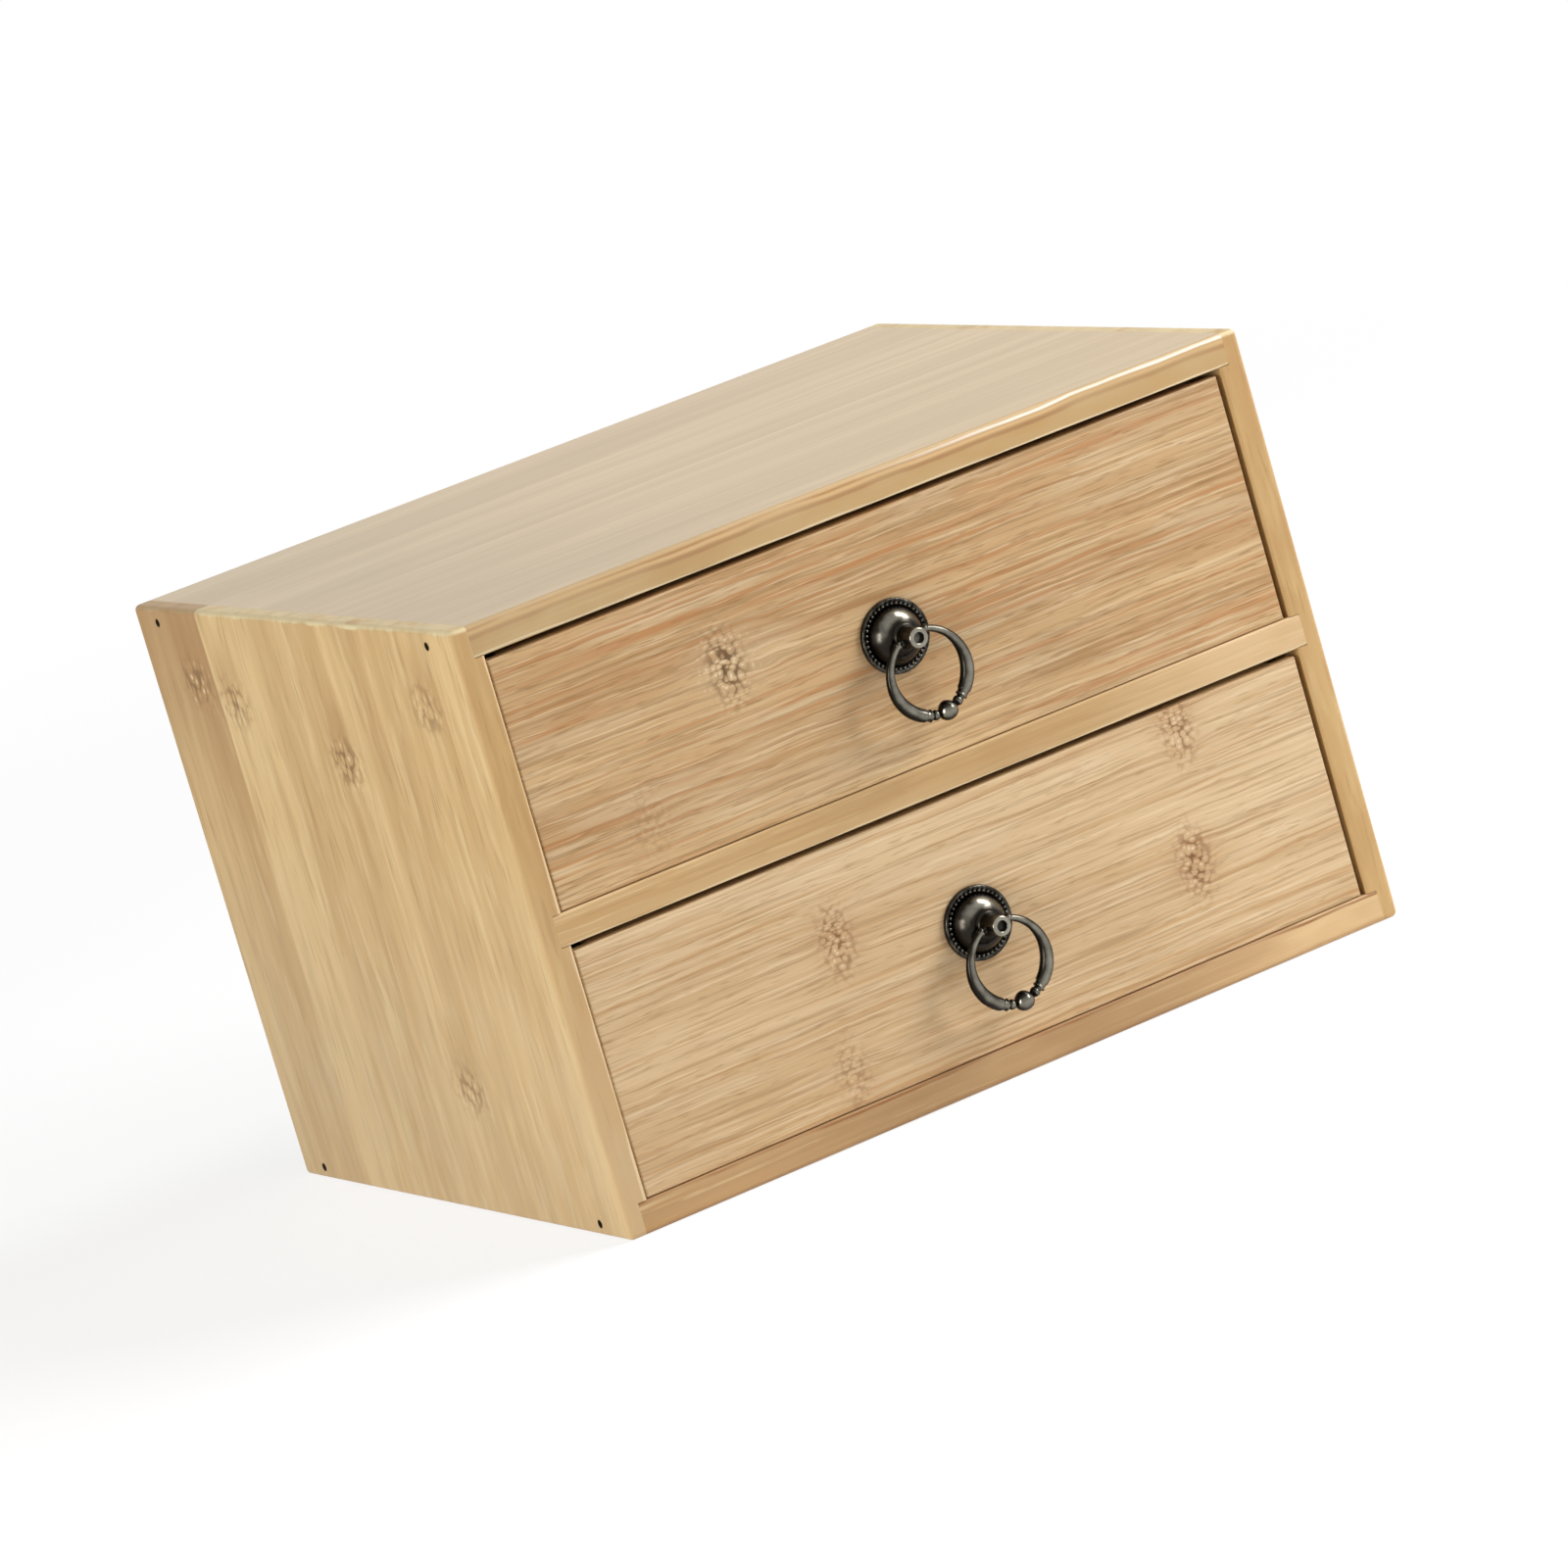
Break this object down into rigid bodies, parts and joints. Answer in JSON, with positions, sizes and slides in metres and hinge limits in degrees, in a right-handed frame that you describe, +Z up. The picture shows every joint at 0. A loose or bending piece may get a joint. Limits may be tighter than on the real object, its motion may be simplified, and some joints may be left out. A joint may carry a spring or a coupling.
{
  "type": "desktop drawer organizer",
  "caption": "Low bamboo desk chest with stacked inset drawers that slide out of an open-fronted carcass, each pulled by a hinged metal drop ring on a domed rosette.",
  "frame": {"origin": "centre of the carcass's underside", "axes": "+X to the right seen from the front, +Y from the drawer fronts to the back, +Z up"},
  "size_m": [0.25, 0.2136, 0.17],
  "materials": {
    "side_bamboo": "flat-pressed bamboo, sanded, clear matt lacquer",
    "board_bamboo": "flat-pressed bamboo, sanded, clear matt lacquer",
    "front_bamboo": "flat-pressed bamboo, sanded, clear matt lacquer",
    "back_board": "thin bamboo board, sanded",
    "drawer_box": "bamboo board, sanded",
    "drawer_base": "thin bamboo plywood, sanded",
    "pull_metal": "cast, antiqued dark, rubbed bright on the high places",
    "steel": "plain steel"
  },
  "bodies": {
    "carcass": {"left_side": "side_bamboo", "right_side": "side_bamboo", "top_board": "board_bamboo", "bottom_board": "board_bamboo", "middle_shelf": "board_bamboo", "back_panel": "back_board", "carcass_brads": "steel"},
    "upper_drawer": {"upper_drawer_front": "front_bamboo", "upper_drawer_left_side": "drawer_box", "upper_drawer_right_side": "drawer_box", "upper_drawer_back": "drawer_box", "upper_drawer_base": "drawer_base", "upper_drawer_brads": "steel", "upper_pull_rosette": "pull_metal", "upper_pull_post": "pull_metal", "upper_pull_screw": "steel"},
    "upper_ring": {"upper_pull_ring": "pull_metal"},
    "lower_drawer": {"lower_drawer_front": "front_bamboo", "lower_drawer_left_side": "drawer_box", "lower_drawer_right_side": "drawer_box", "lower_drawer_back": "drawer_box", "lower_drawer_base": "drawer_base", "lower_drawer_brads": "steel", "lower_pull_rosette": "pull_metal", "lower_pull_post": "pull_metal", "lower_pull_screw": "steel"},
    "lower_ring": {"lower_pull_ring": "pull_metal"}
  },
  "joints": [
    {"name": "upper_drawer_slide", "type": "slide", "parent": "carcass", "child": "upper_drawer", "axis": [0, -1, 0], "range_m": [0, 0.15]},
    {"name": "upper_ring_swing", "type": "hinge", "parent": "upper_drawer", "child": "upper_ring", "pos_m": [-0.0007, -0.1092, 0.12545], "axis": [-0.9799, 0, -0.1994], "range_deg": [-16, 196]},
    {"name": "lower_drawer_slide", "type": "slide", "parent": "carcass", "child": "lower_drawer", "axis": [0, -1, 0], "range_m": [0, 0.15]},
    {"name": "lower_ring_swing", "type": "hinge", "parent": "lower_drawer", "child": "lower_ring", "pos_m": [-0.0007, -0.1092, 0.04395], "axis": [-0.9945, 0, -0.1045], "range_deg": [-16, 196]}
  ]
}
